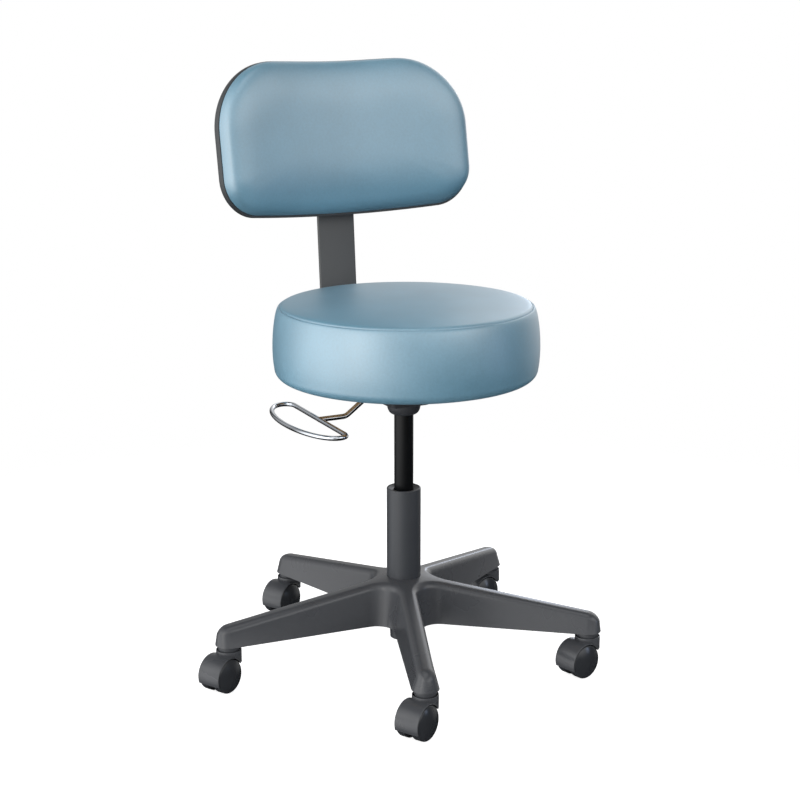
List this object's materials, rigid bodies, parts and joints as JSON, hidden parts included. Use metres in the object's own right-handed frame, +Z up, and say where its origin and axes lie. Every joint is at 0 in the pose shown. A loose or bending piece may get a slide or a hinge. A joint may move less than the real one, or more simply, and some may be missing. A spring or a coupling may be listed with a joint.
{
  "type": "swivel stool with backrest",
  "caption": "Gas-lift swivel stool with a round padded seat, a padded back on a flat bar that adjusts for height and depth, a wire lift lever, and a star base on hooded casters.",
  "frame": {"origin": "on the floor under the column axis, on which the seat turns", "axes": "+Z up along the column, the seat faces -Y, the sitter's right hand and the lever at -X"},
  "size_m": [0.5749, 0.5778, 0.8705],
  "materials": {
    "slate_blue_vinyl": "satin",
    "charcoal_nylon": "satin",
    "charcoal_shell": "satin",
    "charcoal_column": "satin",
    "charcoal_steel": "satin",
    "black_steel": "satin",
    "black_plastic": "satin",
    "black_wheel_nylon": "satin",
    "black_rubber": "matte",
    "zinc_steel": "satin",
    "chromed_wire": "polished",
    "plywood": "matte"
  },
  "bodies": {
    "base": {"star_base": "charcoal_nylon", "column_tube": "charcoal_column", "guide_bush": "black_plastic", "bearing_race_lower": "zinc_steel"},
    "rod": {"piston_rod": "zinc_steel", "bearing_race_upper": "zinc_steel", "bump_stop": "black_rubber", "rod_clip": "zinc_steel"},
    "seat": {"gas_tube": "black_steel", "rod_gland": "black_plastic", "control_housing": "black_steel", "seat_board": "plywood", "seat_cushion": "slate_blue_vinyl", "seat_bolt_1": "zinc_steel", "seat_bolt_2": "zinc_steel", "seat_bolt_3": "zinc_steel", "seat_bolt_4": "zinc_steel", "lever_pin": "zinc_steel", "bar_channel": "black_steel", "channel_bolt_1": "zinc_steel", "channel_bolt_2": "zinc_steel"},
    "lever": {"release_lever": "chromed_wire"},
    "valve_pin": {"release_pin": "zinc_steel"},
    "bar": {"back_bar": "charcoal_steel"},
    "depth_clamp": {"depth_knob": "black_plastic"},
    "backrest": {"back_shell": "charcoal_shell", "back_panel": "plywood", "back_cushion": "slate_blue_vinyl", "back_sleeve": "black_plastic", "back_screw_1": "zinc_steel", "back_screw_2": "zinc_steel", "back_screw_3": "zinc_steel", "back_screw_4": "zinc_steel"},
    "height_clamp": {"height_knob": "black_plastic"},
    "caster_1": {"caster_hood_1": "charcoal_nylon", "caster_stem_1": "zinc_steel", "caster_axle_1": "zinc_steel"},
    "wheel_left_1": {"caster_wheel_left_1": "black_wheel_nylon"},
    "wheel_right_1": {"caster_wheel_right_1": "black_wheel_nylon"},
    "caster_2": {"caster_hood_2": "charcoal_nylon", "caster_stem_2": "zinc_steel", "caster_axle_2": "zinc_steel"},
    "wheel_left_2": {"caster_wheel_left_2": "black_wheel_nylon"},
    "wheel_right_2": {"caster_wheel_right_2": "black_wheel_nylon"},
    "caster_3": {"caster_hood_3": "charcoal_nylon", "caster_stem_3": "zinc_steel", "caster_axle_3": "zinc_steel"},
    "wheel_left_3": {"caster_wheel_left_3": "black_wheel_nylon"},
    "wheel_right_3": {"caster_wheel_right_3": "black_wheel_nylon"},
    "caster_4": {"caster_hood_4": "charcoal_nylon", "caster_stem_4": "zinc_steel", "caster_axle_4": "zinc_steel"},
    "wheel_left_4": {"caster_wheel_left_4": "black_wheel_nylon"},
    "wheel_right_4": {"caster_wheel_right_4": "black_wheel_nylon"},
    "caster_5": {"caster_hood_5": "charcoal_nylon", "caster_stem_5": "zinc_steel", "caster_axle_5": "zinc_steel"},
    "wheel_left_5": {"caster_wheel_left_5": "black_wheel_nylon"},
    "wheel_right_5": {"caster_wheel_right_5": "black_wheel_nylon"}
  },
  "joints": [
    {"name": "seat_swivel", "type": "hinge", "parent": "base", "child": "rod", "pos_m": [0, 0, 0.038], "axis": [0, 0, 1], "continuous": true},
    {"name": "seat_height", "type": "slide", "parent": "rod", "child": "seat", "axis": [0, 0, 1], "range_m": [-0.1, 0.025]},
    {"name": "lever_pull", "type": "hinge", "parent": "seat", "child": "lever", "pos_m": [-0.018, 0, 0.4185], "axis": [0, 1, 0], "range_deg": [0, 8], "stiffness_Nm_per_rad": 4, "springref_deg": -5.73},
    {"name": "valve_push", "type": "slide", "parent": "seat", "child": "valve_pin", "axis": [0, 0, -1], "range_m": [0, 0.003]},
    {"name": "back_depth", "type": "slide", "parent": "seat", "child": "bar", "axis": [0, 1, 0], "range_m": [-0.015, 0.03]},
    {"name": "depth_knob_turn", "type": "hinge", "parent": "seat", "child": "depth_clamp", "pos_m": [0, 0.113, 0.41], "axis": [0, 0, 1], "range_deg": [0, 360]},
    {"name": "back_height", "type": "slide", "parent": "bar", "child": "backrest", "axis": [0, 0.0767, 0.9971], "range_m": [-0.035, 0.04]},
    {"name": "height_knob_turn", "type": "hinge", "parent": "backrest", "child": "height_clamp", "pos_m": [0, 0.22947, 0.7275], "axis": [0, 0.9971, -0.0767], "range_deg": [0, 360]},
    {"name": "caster_swivel_1", "type": "hinge", "parent": "base", "child": "caster_1", "pos_m": [-0.1022, -0.25423, 0.06], "axis": [0, 0, 1], "continuous": true},
    {"name": "wheel_spin_left_1", "type": "hinge", "parent": "caster_1", "child": "wheel_left_1", "pos_m": [-0.11913, -0.26285, 0.025], "axis": [-0.454, 0.891, 0], "continuous": true},
    {"name": "wheel_spin_right_1", "type": "hinge", "parent": "caster_1", "child": "wheel_right_1", "pos_m": [-0.11913, -0.26285, 0.025], "axis": [-0.454, 0.891, 0], "continuous": true},
    {"name": "caster_swivel_2", "type": "hinge", "parent": "base", "child": "caster_2", "pos_m": [0.2102, -0.17576, 0.06], "axis": [0, 0, 1], "continuous": true},
    {"name": "wheel_spin_left_2", "type": "hinge", "parent": "caster_2", "child": "wheel_left_2", "pos_m": [0.19162, -0.17971, 0.025], "axis": [-0.2079, 0.9781, 0], "continuous": true},
    {"name": "wheel_spin_right_2", "type": "hinge", "parent": "caster_2", "child": "wheel_right_2", "pos_m": [0.19162, -0.17971, 0.025], "axis": [-0.2079, 0.9781, 0], "continuous": true},
    {"name": "caster_swivel_3", "type": "hinge", "parent": "base", "child": "caster_3", "pos_m": [0.23211, 0.1456, 0.06], "axis": [0, 0, 1], "continuous": true},
    {"name": "wheel_spin_left_3", "type": "hinge", "parent": "caster_3", "child": "wheel_left_3", "pos_m": [0.21353, 0.14165, 0.025], "axis": [-0.2079, 0.9781, 0], "continuous": true},
    {"name": "wheel_spin_right_3", "type": "hinge", "parent": "caster_3", "child": "wheel_right_3", "pos_m": [0.21353, 0.14165, 0.025], "axis": [-0.2079, 0.9781, 0], "continuous": true},
    {"name": "caster_swivel_4", "type": "hinge", "parent": "base", "child": "caster_4", "pos_m": [-0.06675, 0.26575, 0.06], "axis": [0, 0, 1], "continuous": true},
    {"name": "wheel_spin_left_4", "type": "hinge", "parent": "caster_4", "child": "wheel_left_4", "pos_m": [-0.08368, 0.25712, 0.025], "axis": [-0.454, 0.891, 0], "continuous": true},
    {"name": "wheel_spin_right_4", "type": "hinge", "parent": "caster_4", "child": "wheel_right_4", "pos_m": [-0.08368, 0.25712, 0.025], "axis": [-0.454, 0.891, 0], "continuous": true},
    {"name": "caster_swivel_5", "type": "hinge", "parent": "base", "child": "caster_5", "pos_m": [-0.27337, 0.01864, 0.06], "axis": [0, 0, 1], "continuous": true},
    {"name": "wheel_spin_left_5", "type": "hinge", "parent": "caster_5", "child": "wheel_left_5", "pos_m": [-0.2903, 0.01001, 0.025], "axis": [-0.454, 0.891, 0], "continuous": true},
    {"name": "wheel_spin_right_5", "type": "hinge", "parent": "caster_5", "child": "wheel_right_5", "pos_m": [-0.2903, 0.01001, 0.025], "axis": [-0.454, 0.891, 0], "continuous": true}
  ],
  "couplings": [
    {"joint": "valve_push", "follows": "lever_pull", "m_per_rad": 0.0205}
  ]
}
